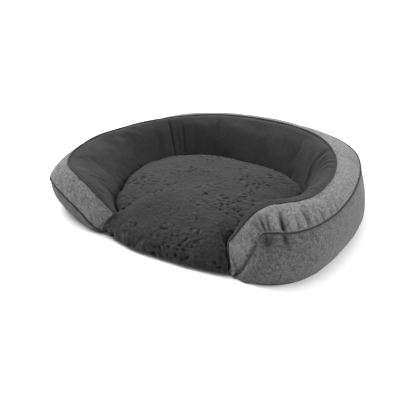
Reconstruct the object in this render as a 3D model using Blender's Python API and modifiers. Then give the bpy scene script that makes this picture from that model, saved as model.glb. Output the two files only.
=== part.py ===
"""Step-in oval pet bed: a C-shaped stuffed wall and a loose zipped cushion.

Metres, +Z up, front at -Y. The origin is on the floor at the middle of the bed's box.
"""
import math

import bmesh
import bpy
from mathutils import Vector

# ---- Overall size
OVERALL_WIDTH = 0.804
OVERALL_DEPTH = 0.630
CREST_HEIGHT = 0.168
RIM_HEIGHT = 0.127

# ---- Wall section
WALL_WIDTH = 0.137          # from the rim seam in to the foot of the inner panel
BAND_RUN = 0.050            # how far the top panel runs in from the rim
RIDGE_DROP = 0.007          # the ridge piping lies this far below the crest
CREST_SETBACK = 0.015       # and this far outside it
BULGE = 0.020               # how far the outer panel swells past the rim
FOOT_TUCK = 0.006           # how far it tucks under again at the floor
BAND_CROWN = 0.004
FABRIC = 0.003
PIPING_DIAMETER = 0.006
PIPING_CLEARANCE = 0.0016
FILL_CLEARANCE = 0.0024     # between the panels and what fills the wall
DIVIDER = 0.0024            # cloth of the dividers between the chambers and at the arm ends
ARM_END_OFFSET = 0.0036     # from the ends of the panels to the cloth that closes an arm
BAFFLE_AT = 2.25            # where the dividers stand, in spans of RIGHT_ARM
FILL_END = 9.1              # where the filling of an arm stops

# ---- Cushion
CUSHION_CROWN = 0.080
CUSHION_SIDE = 0.034        # height of its upright side
CUSHION_CLEARANCE = 0.005
FRONT_SAG = 0.018           # how far the middle of the front stands out past the arm ends
LINER = 0.002
PAD_CLEARANCE = 0.004

# ---- Base
BASE_SHEET = 0.003
BASE_CLEARANCE = 0.0008
BASE_INSET = 0.012          # from the front of the cushion back to the edge of the sheet
LABEL_SIZE = (0.040, 0.018, 0.0008)
LABEL_AT = -0.8             # in spans of the left arm, which counts as negative

# ---- Zip, across the flat stretch of the cushion's rear side
ZIP_LENGTH = 0.180
ZIP_RECESS = 0.026          # how far the flat stretch lies in front of the wall's foot
ZIP_HEADROOM = 0.004        # from the top of the zip up to the shoulder of the cushion
MOUTH_MARGIN = 0.005        # how much longer the cushion's mouth is at each end than the zip
TAPE_OVERHANG = 0.004       # how far the tapes run on past each end of the zip
ZIP_TAPE = 0.0012
CHAIN_WIDTH = 0.0054
CHAIN_THICKNESS = 0.0024
TOOTH_PITCH = 0.005
STOP_LENGTH = 0.003
SLIDER_SIZE = (0.012, 0.0027, 0.009)
SLIDER_ROOF = 0.0014        # metal left over the channel for the chain
SLIDER_PARKING = 0.001      # from the stop to the slider when the zip is shut
LUG_SIZE = (0.0024, 0.0033, 0.0010)
LUG_SINK = 0.0004           # how far the lugs reach into the slider
PULL_LENGTH = 0.0115
PULL_NECK = 0.0038
NECK_REACH = 0.0030         # the neck clears the lugs before the tab widens
PULL_WIDTH = 0.0055
PULL_THICKNESS = 0.0012
PIN_RADIUS = 0.0006
PIN_LIFT = 0.0017           # from the slider's face to the pin's axis
EYE_RADIUS = 0.0013
EYE_CLEARANCE = 0.00025

GAP = 0.0003                # between neighbours

# Stations from the back centre round to the end of each arm. Shares of the rim's half width and half
# depth, the way inwards in degrees as on the right, and what is left of the rim's height, the crest's
# height and the wall's width. The left arm lies lower and reaches further round than the right one.
RIGHT_ARM = (
    (0.00, 1.000, 270, 1.00, 1.00, 1.00),
    (0.36, 0.945, 255, 1.00, 1.00, 1.00),
    (0.70, 0.760, 232, 1.00, 1.00, 1.00),
    (0.90, 0.360, 209, 0.99, 1.00, 1.00),
    (0.99, -0.100, 190, 0.97, 1.00, 1.00),
    (1.00, -0.420, 176, 0.95, 0.99, 1.00),
    (0.965, -0.700, 164, 0.93, 0.98, 0.98),
    (0.87, -0.890, 152, 0.92, 0.97, 0.92),
    (0.72, -0.975, 143, 0.88, 0.94, 0.74),
    (0.64, -0.990, 138, 0.46, 0.69, 0.60),
    (0.57, -1.000, 135, 0.12, 0.43, 0.50),
)
LEFT_ARM = (
    RIGHT_ARM[0],
    (0.36, 0.940, 255, 1.00, 0.99, 1.00),
    (0.70, 0.730, 232, 0.98, 0.97, 1.00),
    (0.90, 0.320, 209, 0.95, 0.94, 1.00),
    (0.99, -0.130, 191, 0.90, 0.91, 1.00),
    (1.00, -0.470, 178, 0.85, 0.88, 1.00),
    (0.965, -0.710, 166, 0.76, 0.85, 0.98),
    (0.87, -0.870, 155, 0.67, 0.82, 0.92),
    (0.72, -0.950, 143, 0.55, 0.77, 0.80),
    (0.56, -0.990, 134, 0.34, 0.64, 0.62),
    (0.42, -1.000, 128, 0.10, 0.43, 0.48),
)
STEPS_PER_SPAN = 3
OUTLINE_STEPS = 24          # points along each outline before it is divided into strips
OUTER_STRIPS = 5
BAND_STRIPS = 2
INNER_STRIPS = 9
INNER_FLATNESS = 1.35       # 1 makes the inner wall an ellipse, 2 a straight slope

# The cushion's rings: share of its outline, share of its crown's rise above the upright side.
DOME_RINGS = ((0.985, 0.30), (0.93, 0.58), (0.80, 0.78), (0.55, 0.92), (0.27, 0.985))
CUSHION_CENTRE_Y = -0.150

BASE_TOP = BASE_SHEET + BASE_CLEARANCE
RIM_HALF_WIDTH = OVERALL_WIDTH / 2 - BULGE
RIM_BACK = OVERALL_DEPTH / 2 - BULGE
RIM_FRONT = FRONT_SAG - OVERALL_DEPTH / 2
RIM_MIDDLE = (RIM_BACK + RIM_FRONT) / 2
RIM_HALF_DEPTH = (RIM_BACK - RIM_FRONT) / 2
PIPING_ROOM = (PIPING_DIAMETER + FABRIC) / 2 + PIPING_CLEARANCE
LAST_STATION = len(RIGHT_ARM) - 1
ZIP_PLANE = RIM_BACK - WALL_WIDTH - CUSHION_CLEARANCE - ZIP_RECESS
ZIP_BOTTOM = BASE_TOP + LINER + GAP
ZIP_TOP = CUSHION_SIDE - ZIP_HEADROOM
ZIP_MIDDLE = (ZIP_BOTTOM + ZIP_TOP) / 2
SLIDER_X = STOP_LENGTH + SLIDER_PARKING + SLIDER_SIZE[0] / 2 - ZIP_LENGTH / 2

COLOURS = {
    "plush": (0.060, 0.060, 0.063),
    "suede": (0.045, 0.045, 0.047),
    "light_tweed": (0.235, 0.235, 0.240),
    "grey_tweed": (0.115, 0.115, 0.118),
    "piping": (0.030, 0.030, 0.032),
    "lining": (0.075, 0.075, 0.078),
    "fibre": (0.780, 0.780, 0.770),
    "zip_metal": (0.300, 0.300, 0.310),
}


def clear_scene():
    for item in list(bpy.data.objects):
        bpy.data.objects.remove(item, do_unlink=True)


def new_collection(name):
    collection = bpy.data.collections.new(name)
    bpy.context.scene.collection.children.link(collection)
    return collection


def make_material(name, colour):
    material = bpy.data.materials.new(name)
    material.use_nodes = True
    shader = material.node_tree.nodes["Principled BSDF"]
    shader.inputs["Base Color"].default_value = (*colour, 1.0)
    shader.inputs["Roughness"].default_value = 0.35 if name == "zip_metal" else 0.9
    shader.inputs["Metallic"].default_value = 0.9 if name == "zip_metal" else 0.0
    return material


def place(item, material):
    """Puts an object in the bed's collection with its own copy of a material."""
    item.data.materials.clear()
    item.data.materials.append(make_material(f"{item.name}_{material}", COLOURS[material]))
    BED.objects.link(item)
    return item


# ---- The wall's path and section

def station(position):
    """The side and the smoothed row at any position in spans; negative positions are the left arm."""
    arm, other = (LEFT_ARM, RIGHT_ARM) if position < 0 else (RIGHT_ARM, LEFT_ARM)
    place_in_spans = min(abs(position), LAST_STATION)
    first = min(int(place_in_spans), LAST_STATION - 1)
    rows = [station_row(arm, other, first + step) for step in (-1, 0, 1, 2)]
    chords = [math.dist(rows[k][:2], rows[k + 1][:2]) for k in range(3)]
    share = place_in_spans - first
    values = []
    for before, start, end, after in zip(*rows):
        slope_in = (start - before) / chords[0]
        slope = (end - start) / chords[1]
        slope_out = (after - end) / chords[2]
        start_slope = (slope_in * chords[1] + slope * chords[0]) / (chords[0] + chords[1])
        end_slope = (slope * chords[2] + slope_out * chords[1]) / (chords[1] + chords[2])
        values.append(hermite(start, end, start_slope * chords[1], end_slope * chords[1], share))
    return (-1.0 if position < 0 else 1.0), values


def station_row(arm, other, index):
    """A row of an arm; before its first comes the other arm's second, and one is added past its last."""
    if index < 0:
        across, along, inwards, *shares = other[-index]
        return (-across, along, 540 - inwards, *shares)
    if index > LAST_STATION:
        return tuple(2 * a - b for a, b in zip(arm[LAST_STATION], arm[LAST_STATION - 1]))
    return arm[index]


def hermite(start, end, start_slope, end_slope, share):
    squared = share * share
    cubed = squared * share
    return (
        start * (2 * cubed - 3 * squared + 1)
        + start_slope * (cubed - 2 * squared + share)
        + end * (3 * squared - 2 * cubed)
        + end_slope * (cubed - squared)
    )


class Section:
    """The wall cut at one position: outlines as (distance in from the rim, height)."""

    def __init__(self, position):
        side, values = station(position)
        across, along, inwards, rim_share, crest_share, width_share = values
        angle = math.radians(inwards)
        self.rim = Vector((side * across * RIM_HALF_WIDTH, RIM_MIDDLE + along * RIM_HALF_DEPTH, 0.0))
        self.inwards = Vector((side * math.cos(angle), math.sin(angle), 0.0))
        self.endwards = side * Vector((-self.inwards.y, self.inwards.x, 0.0))
        self.rim_height = rim_share * RIM_HEIGHT
        self.crest = crest_share * CREST_HEIGHT
        self.width = width_share * WALL_WIDTH
        self.fullness = min(rim_share, 1.0)
        self.ridge = (BAND_RUN, self.crest - RIDGE_DROP * crest_share)

    def outer(self):
        """From the rim seam down to the floor."""
        points = []
        for k in range(OUTLINE_STEPS + 1):
            drop = k / OUTLINE_STEPS
            swell = BULGE * math.sin(math.pi * drop ** 0.9) - FOOT_TUCK * drop ** 3
            points.append((-swell * self.fullness, self.rim_height + (BASE_TOP - self.rim_height) * drop))
        return points

    def band(self):
        """From the ridge seam out to the rim seam."""
        points = []
        for k in range(OUTLINE_STEPS + 1):
            share = k / OUTLINE_STEPS
            height = self.ridge[1] + (self.rim_height - self.ridge[1]) * share
            points.append((self.ridge[0] * (1 - share), height + BAND_CROWN * math.sin(math.pi * share)))
        return points

    def inner(self):
        """From the foot in front of the cushion up over the crest to the ridge seam."""
        crest_at = BAND_RUN + CREST_SETBACK * self.width / WALL_WIDTH
        points = []
        for k in range(OUTLINE_STEPS + 1):
            turn = math.pi / 2 * (1 - k / OUTLINE_STEPS)
            run = math.sin(turn) ** INNER_FLATNESS
            rise = max(math.cos(turn), 0.0) ** INNER_FLATNESS
            height = BASE_TOP + (self.crest - BASE_TOP) * rise
            points.append((crest_at + (self.width - crest_at) * run, height))
        points.append(self.ridge)
        return points

    def whole(self):
        """The closed outline of the wall: outer panel, floor, inner panel, band."""
        outer = resampled(self.outer(), OUTER_STRIPS)
        inner = resampled(self.inner(), INNER_STRIPS)
        band = resampled(self.band(), BAND_STRIPS)
        return outer + inner + band[1:-1]

    def filling(self, inset):
        """The closed outline inside the panels."""
        insets = [inset] * len(self.whole())
        insets[OUTER_STRIPS] = GAP
        return inset_outline(self.whole(), insets)

    def world(self, point):
        return self.rim + self.inwards * point[0] + Vector((0.0, 0.0, point[1]))


def resampled(points, strips, start_room=0.0, end_room=0.0):
    """A polyline cut back at its ends and divided into equal strips."""
    lengths = [0.0]
    for start, end in zip(points, points[1:]):
        lengths.append(lengths[-1] + math.dist(start, end))
    last = lengths[-1] - end_room
    result = []
    for k in range(strips + 1):
        wanted = start_room + (last - start_room) * k / strips
        after = next((n for n in range(1, len(points)) if lengths[n] >= wanted), len(points) - 1)
        share = (wanted - lengths[after - 1]) / (lengths[after] - lengths[after - 1])
        result.append(tuple(a + (b - a) * share for a, b in zip(points[after - 1], points[after])))
    return result


def inset_outline(outline, insets):
    """A closed outline with each edge moved in by its own inset; the inside is on the left."""
    count = len(outline)
    moved = []
    for k in range(count):
        before = edge_normal(outline[k - 1], outline[k])
        after = edge_normal(outline[k], outline[(k + 1) % count])
        moved.append(inset_corner(outline[k], before, after, insets[k - 1], insets[k]))
    return moved


def edge_normal(start, end):
    length = math.dist(start, end)
    return ((start[1] - end[1]) / length, (end[0] - start[0]) / length)


def inset_corner(point, first, second, first_inset, second_inset):
    """Moves a corner so that both edges lie their own inset further in."""
    turn = first[0] * second[1] - first[1] * second[0]
    if abs(turn) < 0.05:
        return (point[0] + first[0] * first_inset, point[1] + first[1] * first_inset)
    along = (first_inset * second[1] - second_inset * first[1]) / turn
    up = (second_inset * first[0] - first_inset * second[0]) / turn
    return (point[0] + along, point[1] + up)


def positions_between(start, end):
    """Positions along the wall, on the common steps, with both ends."""
    most = LAST_STATION * STEPS_PER_SPAN
    steps = [k / STEPS_PER_SPAN for k in range(-most, most + 1)]
    room = 0.2 / STEPS_PER_SPAN
    return [start] + [k for k in steps if start + room < k < end - room] + [end]


def shifted(position, distance):
    """The position a small distance further along the wall."""
    step = 0.01
    here = Section(position - step).rim
    there = Section(position + step).rim
    return position + distance * 2 * step / (there - here).length


def slant(position):
    """How much thicker a panel measures along the section than across its cloth."""
    step = 0.02
    start, end = (Section(position + side * step) for side in (-1, 1))
    run = end.world((BAND_RUN / 2, end.crest)) - start.world((BAND_RUN / 2, start.crest))
    drop = end.world((0.0, end.rim_height)) - start.world((0.0, start.rim_height))
    along = Section(position).endwards
    return max(run.length / abs(run.dot(along)), drop.length / abs(drop.dot(along)))


# ---- Makers

def mesh_object(name, work, material):
    bmesh.ops.recalc_face_normals(work, faces=work.faces[:])
    mesh = bpy.data.meshes.new(name)
    work.to_mesh(mesh)
    work.free()
    mesh.shade_smooth()
    mesh.set_sharp_from_angle(angle=math.radians(50))
    return place(bpy.data.objects.new(name, mesh), material)


def loft(name, rows, material, closed=False, capped=False):
    """A skin over rows of points; closed joins each row's ends, capped fills the first and last row."""
    work = bmesh.new()
    grid = [[work.verts.new(point) for point in row] for row in rows]
    for row, following in zip(grid, grid[1:]):
        strips = len(row) if closed else len(row) - 1
        for k in range(strips):
            after = (k + 1) % len(row)
            work.faces.new((row[k], row[after], following[after], following[k]))
    if capped:
        work.faces.new(grid[0])
        work.faces.new(grid[-1])
    return mesh_object(name, work, material)


def thicken(item, thickness, outward):
    """Gives an open skin its cloth's thickness, on the side away from outward(face centre)."""
    mesh = item.data
    facing = sum(face.normal.dot(outward(face.center)) for face in mesh.polygons)
    if facing < 0:
        mesh.flip_normals()
    solidify = item.modifiers.new("cloth", "SOLIDIFY")
    solidify.thickness = thickness
    solidify.offset = -1.0
    return item


def seam_room(seam, k, neighbour):
    """How far a panel stops short of the piping on its seam, measured along the section."""
    run = seam[min(k + 1, len(seam) - 1)] - seam[max(k - 1, 0)]
    edge = neighbour - seam[k]
    return PIPING_ROOM / (edge.normalized().cross(run.normalized())).length


def panel(name, outline, strips, material, piped_start, piped_end):
    sections = [Section(k) for k in positions_between(-LAST_STATION, LAST_STATION)]
    full = [[section.world(p) for p in outline(section)] for section in sections]
    starts = [row[0] for row in full]
    ends = [row[-1] for row in full]
    rows = []
    for k, row in enumerate(full):
        start_room = seam_room(starts, k, row[2]) if piped_start else 0.0
        end_room = seam_room(ends, k, row[-3]) if piped_end else 0.0
        rows.append(resampled(row, strips, start_room, end_room))
    skin = loft(name, rows, material)
    cores = [s.world((s.width * 0.45, s.crest * 0.45)) for s in sections]

    def outward(place_on_face):
        core = min(cores, key=lambda c: (c - place_on_face).length_squared)
        return place_on_face - core

    return thicken(skin, FABRIC, outward)


def slab(name, start, end, material):
    """A stretch of the wall's inside, as a closed solid."""
    rows = []
    for position in positions_between(start, end):
        section = Section(position)
        inset = FABRIC * slant(position) + FILL_CLEARANCE
        rows.append([section.world(p) for p in section.filling(inset)])
    return loft(name, rows, material, closed=True, capped=True)


def arm_end(name, side):
    """The cloth that closes the end of an arm, just past the ends of the panels."""
    section = Section(side * LAST_STATION)
    outline = [section.world(p) for p in section.filling(GAP)]
    near = section.endwards * ARM_END_OFFSET
    far = section.endwards * (ARM_END_OFFSET + DIVIDER)
    rows = [[p + near for p in outline], [p + far for p in outline]]
    return loft(name, rows, "lining", closed=True, capped=True)


def tube(name, points, diameter, material):
    curve = bpy.data.curves.new(name, "CURVE")
    curve.dimensions = "3D"
    curve.bevel_depth = diameter / 2
    curve.bevel_resolution = 2
    curve.use_fill_caps = True
    spline = curve.splines.new("POLY")
    spline.points.add(len(points) - 1)
    for knot, point in zip(spline.points, points):
        knot.co = (*point, 1.0)
    return place(bpy.data.objects.new(name, curve), material)


def plate(name, outline, bottom, thickness, material):
    """A flat outline in X and Y, with its underside at bottom."""
    curve = bpy.data.curves.new(name, "CURVE")
    curve.dimensions = "2D"
    curve.fill_mode = "BOTH"
    curve.extrude = thickness / 2
    spline = curve.splines.new("POLY")
    spline.points.add(len(outline) - 1)
    for knot, point in zip(spline.points, outline):
        knot.co = (point[0], point[1], 0.0, 1.0)
    spline.use_cyclic_u = True
    item = bpy.data.objects.new(name, curve)
    item.location.z = bottom + thickness / 2
    return place(item, material)


def box_mesh(size, centre, bevel=0.0):
    work = bmesh.new()
    bmesh.ops.create_cube(work, size=1.0)
    bmesh.ops.scale(work, vec=size, verts=work.verts[:])
    if bevel:
        bmesh.ops.bevel(work, geom=work.edges[:], offset=bevel, segments=1, affect="EDGES")
    bmesh.ops.translate(work, vec=centre, verts=work.verts[:])
    return work


def cylinder_mesh(radius, length, centre, segments):
    """A cylinder that stands along Z."""
    work = bmesh.new()
    bmesh.ops.create_cone(
        work, cap_ends=True, segments=segments, radius1=radius, radius2=radius, depth=length,
    )
    bmesh.ops.translate(work, vec=centre, verts=work.verts[:])
    return work


def box(name, size, centre, material, bevel=0.0):
    item = mesh_object(name, box_mesh(size, (0.0, 0.0, 0.0), bevel), material)
    item.location = centre
    return item


def cutter(name, work):
    mesh = bpy.data.meshes.new(name)
    work.to_mesh(mesh)
    work.free()
    item = bpy.data.objects.new(name, mesh)
    item.hide_render = True
    item.display_type = "WIRE"
    CUTTERS.objects.link(item)
    return item


def boolean(item, operation, other):
    modifier = item.modifiers.new(other.name, "BOOLEAN")
    modifier.operation = operation
    modifier.object = other
    modifier.solver = "EXACT"


# ---- The bed's wall and base

def front_arc(inset, steps):
    """Points of the front edge from the right arm's end to the left one's, all moved in by the inset."""
    right = Section(LAST_STATION).rim - Vector((inset, 0.0, 0.0))
    left = Section(-LAST_STATION).rim + Vector((inset, 0.0, 0.0))
    points = []
    for k in range(steps + 1):
        point = right.lerp(left, k / steps)
        from_middle = abs(1 - 2 * k / steps)
        sag = point.y + OVERALL_DEPTH / 2
        point.y += inset - sag * (1 - from_middle ** 2.4)
        points.append(point)
    return points


def build_wall():
    panel("bolster_inner_panel", Section.inner, INNER_STRIPS, "suede", False, True)
    panel("bolster_top_panel", Section.band, BAND_STRIPS, "light_tweed", True, True)
    panel("bolster_outer_panel", Section.outer, OUTER_STRIPS, "grey_tweed", True, False)
    sections = [Section(k) for k in positions_between(-LAST_STATION, LAST_STATION)]
    tube("ridge_piping", [s.world(s.ridge) for s in sections], PIPING_DIAMETER, "piping")
    tube("rim_piping", [s.world((0.0, s.rim_height)) for s in sections], PIPING_DIAMETER, "piping")


def build_filling():
    before = shifted(BAFFLE_AT, -DIVIDER / 2)
    after = shifted(BAFFLE_AT, DIVIDER / 2)
    inner_end = shifted(before, -FILL_CLEARANCE)
    for side, name in ((-1, "left"), (1, "right")):
        ends = sorted((side * before, side * after))
        slab(f"baffle_{name}", ends[0], ends[1], "lining")
        ends = sorted((side * shifted(after, FILL_CLEARANCE), side * FILL_END))
        slab(f"bolster_fill_{name}", ends[0], ends[1], "fibre")
        arm_end(f"arm_end_{name}", side)
    slab("bolster_fill_back", -inner_end, inner_end, "fibre")


def build_base():
    outline = []
    for position in positions_between(-LAST_STATION, LAST_STATION):
        section = Section(position)
        outline.append(section.world((FOOT_TUCK * section.fullness + GAP, 0.0)))
    outline += front_arc(BASE_INSET, 10)[1:-1]
    plate("base_sheet", outline, 0.0, BASE_SHEET, "lining")
    section = Section(LABEL_AT)
    foot = section.world((FOOT_TUCK, 0.0)) - section.inwards * (LABEL_SIZE[1] / 2 + GAP)
    label = box("care_label", LABEL_SIZE, (foot.x, foot.y, BASE_SHEET / 2), "lining")
    label.rotation_euler.z = math.atan2(section.inwards.y, section.inwards.x) + math.pi / 2


# ---- The cushion

def cushion_outline(inset):
    """The foot of the wall and the front edge, with room left all round, moved in by the inset."""
    outline = []
    for position in positions_between(-LAST_STATION, LAST_STATION):
        section = Section(position)
        point = section.world((section.width + CUSHION_CLEARANCE, 0.0))
        outline.append(Vector((point.x, min(point.y, ZIP_PLANE), 0.0)))
    room = ARM_END_OFFSET + DIVIDER + CUSHION_CLEARANCE
    for end, position in ((0, -LAST_STATION), (-1, LAST_STATION)):
        outline[end] += Section(position).endwards * room
    front = front_arc(room * math.sqrt(2), 12)
    outline += [point - Vector((0.0, room * math.sqrt(2), 0.0)) for point in front]
    outline.reverse()
    points = inset_outline([(p.x, p.y) for p in outline], [inset] * len(outline))
    return [Vector((x, y, 0.0)) for x, y in points]


def dome(outline, bottom, side_height, crown):
    """Rows of points from the bottom edge up to the crown."""
    centre = Vector((0.0, CUSHION_CENTRE_Y, 0.0))
    rows = [[p + Vector((0.0, 0.0, height)) for p in outline] for height in (bottom, side_height)]
    for share, rise in DOME_RINGS:
        height = side_height + (crown - side_height) * rise
        rows.append([centre + (p - centre) * share + Vector((0.0, 0.0, height)) for p in outline])
    return rows, centre + Vector((0.0, 0.0, crown))


def dome_mesh(rows, top, floor):
    work = bmesh.new()
    grid = [[work.verts.new(point) for point in row] for row in rows]
    count = len(grid[0])
    for row, following in zip(grid, grid[1:]):
        for k in range(count):
            after = (k + 1) % count
            work.faces.new((row[k], row[after], following[after], following[k]))
    peak = work.verts.new(top)
    for k in range(count):
        work.faces.new((grid[-1][k], grid[-1][(k + 1) % count], peak))
    if floor:
        work.faces.new(grid[0])
    return work


def build_cushion():
    rows, top = dome(cushion_outline(0.0), BASE_TOP, CUSHION_SIDE, CUSHION_CROWN)
    cover = mesh_object("cushion_top_cover", dome_mesh(rows, top, floor=False), "plush")
    middle = Vector((0.0, CUSHION_CENTRE_Y, CUSHION_SIDE / 2))
    thicken(cover, FABRIC, lambda point: point - middle)
    mouth = box_mesh(
        (ZIP_LENGTH + 2 * MOUTH_MARGIN, 8 * FABRIC, 2 * (ZIP_TOP + GAP)),
        (0.0, ZIP_PLANE, 0.0),
    )
    boolean(cover, "DIFFERENCE", cutter("zip_mouth", mouth))
    plate("cushion_liner", cushion_outline(FABRIC + GAP), BASE_TOP, LINER, "lining")
    inset = FABRIC + PAD_CLEARANCE
    bottom = BASE_TOP + LINER + GAP
    rows, top = dome(cushion_outline(inset), bottom, CUSHION_SIDE - inset, CUSHION_CROWN - inset)
    mesh_object("cushion_pad", dome_mesh(rows, top, floor=True), "fibre")


# ---- The zip

def build_zip():
    tape_width = (ZIP_TOP - ZIP_BOTTOM - CHAIN_WIDTH) / 2 - GAP
    tape_size = (ZIP_LENGTH + 2 * TAPE_OVERHANG, ZIP_TAPE, tape_width)
    tape_y = ZIP_PLANE - ZIP_TAPE / 2
    box("zip_tape_lower", tape_size, (0.0, tape_y, ZIP_BOTTOM + tape_width / 2), "lining")
    box("zip_tape_upper", tape_size, (0.0, tape_y, ZIP_TOP - tape_width / 2), "lining")
    build_chain()
    stop_x = ZIP_LENGTH / 2 - STOP_LENGTH / 2
    stop_size = (STOP_LENGTH, CHAIN_THICKNESS + 0.001, CHAIN_WIDTH)
    for side, name in ((-1, "left"), (1, "right")):
        box(f"zip_stop_{name}", stop_size, (side * stop_x, ZIP_PLANE, ZIP_MIDDLE), "zip_metal", 0.0004)
    build_slider()


def build_chain():
    """A strip with a row of teeth along both edges."""
    length = ZIP_LENGTH - 2 * (STOP_LENGTH + GAP)
    teeth = int(length / TOOTH_PITCH)
    pitch = length / teeth
    tip = CHAIN_WIDTH / 2
    root = tip * 0.7
    edge = []
    for k in range(teeth):
        left = k * pitch - length / 2
        edge += [(left, root), (left + pitch * 0.2, tip), (left + pitch * 0.8, tip)]
    edge.append((length / 2, root))
    outline = edge + [(-x, -y) for x, y in edge]
    chain = plate("zip_chain", outline, 0.0, CHAIN_THICKNESS, "zip_metal")
    chain.location = (0.0, ZIP_PLANE, ZIP_MIDDLE)
    chain.rotation_euler.x = math.pi / 2


def build_slider():
    """A channel that rides over the chain, with a pin between two lugs for the pull."""
    length, depth, _ = SLIDER_SIZE
    back = ZIP_PLANE + GAP
    face = back + depth
    pivot = Vector((SLIDER_X, face + PIN_LIFT, ZIP_MIDDLE))
    slider = box("zip_slider", SLIDER_SIZE, (SLIDER_X, back + depth / 2, ZIP_MIDDLE), "zip_metal", 0.0005)
    channel_size = (length * 2, (depth - SLIDER_ROOF) * 2, CHAIN_WIDTH + 2 * GAP)
    channel = box_mesh(channel_size, (SLIDER_X, back, ZIP_MIDDLE))
    boolean(slider, "DIFFERENCE", cutter("chain_channel", channel))
    lug_inner = PULL_NECK / 2 + GAP
    for side, name in ((-1, "lower"), (1, "upper")):
        lift = side * (lug_inner + LUG_SIZE[2] / 2)
        lug = box_mesh(LUG_SIZE, (SLIDER_X, face + LUG_SIZE[1] / 2 - LUG_SINK, ZIP_MIDDLE + lift))
        boolean(slider, "UNION", cutter(f"lug_{name}", lug))
    pin = cylinder_mesh(PIN_RADIUS, 2 * lug_inner + LUG_SIZE[2], pivot, 12)
    boolean(slider, "UNION", cutter("pull_pin", pin))
    build_pull(pivot)


def build_pull(pivot):
    """A tab whose eye turns on the slider's pin; its origin is on the pin's axis."""
    pull = mesh_object("zip_pull", cylinder_mesh(EYE_RADIUS, PULL_NECK, (0.0, 0.0, 0.0), 16), "zip_metal")
    pull.location = pivot
    overlap = 0.0004
    neck_length = NECK_REACH + overlap
    neck_size = (neck_length, PULL_THICKNESS, PULL_NECK)
    neck = box_mesh(neck_size, pivot - Vector((overlap + neck_length / 2, 0.0, 0.0)))
    boolean(pull, "UNION", cutter("pull_neck", neck))
    tab_length = PULL_LENGTH - NECK_REACH
    tab_size = (tab_length, PULL_THICKNESS * 0.96, PULL_WIDTH)
    tab = box_mesh(tab_size, pivot - Vector((NECK_REACH + tab_length / 2, 0.0, 0.0)), 0.0004)
    boolean(pull, "UNION", cutter("pull_tab", tab))
    bore = cylinder_mesh(PIN_RADIUS + EYE_CLEARANCE, 2 * PULL_NECK, pivot, 16)
    boolean(pull, "DIFFERENCE", cutter("pull_bore", bore))


clear_scene()
BED = new_collection("pet_bed")
CUTTERS = new_collection("cutters")
build_wall()
build_filling()
build_base()
build_cushion()
build_zip()
bpy.context.view_layer.update()
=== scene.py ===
"""The looks of a step-in pet bed: a C-shaped stuffed wall in three cloths and a loose plush cushion.

Metres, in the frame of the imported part. The wall is a fine grid of cloth, stuffed by a short cloth
simulation that is held at its seams, then parted into its panels. The cushion is puffed the same way.
"""

import math

import bpy
import numpy as np
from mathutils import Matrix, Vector, noise


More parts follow.
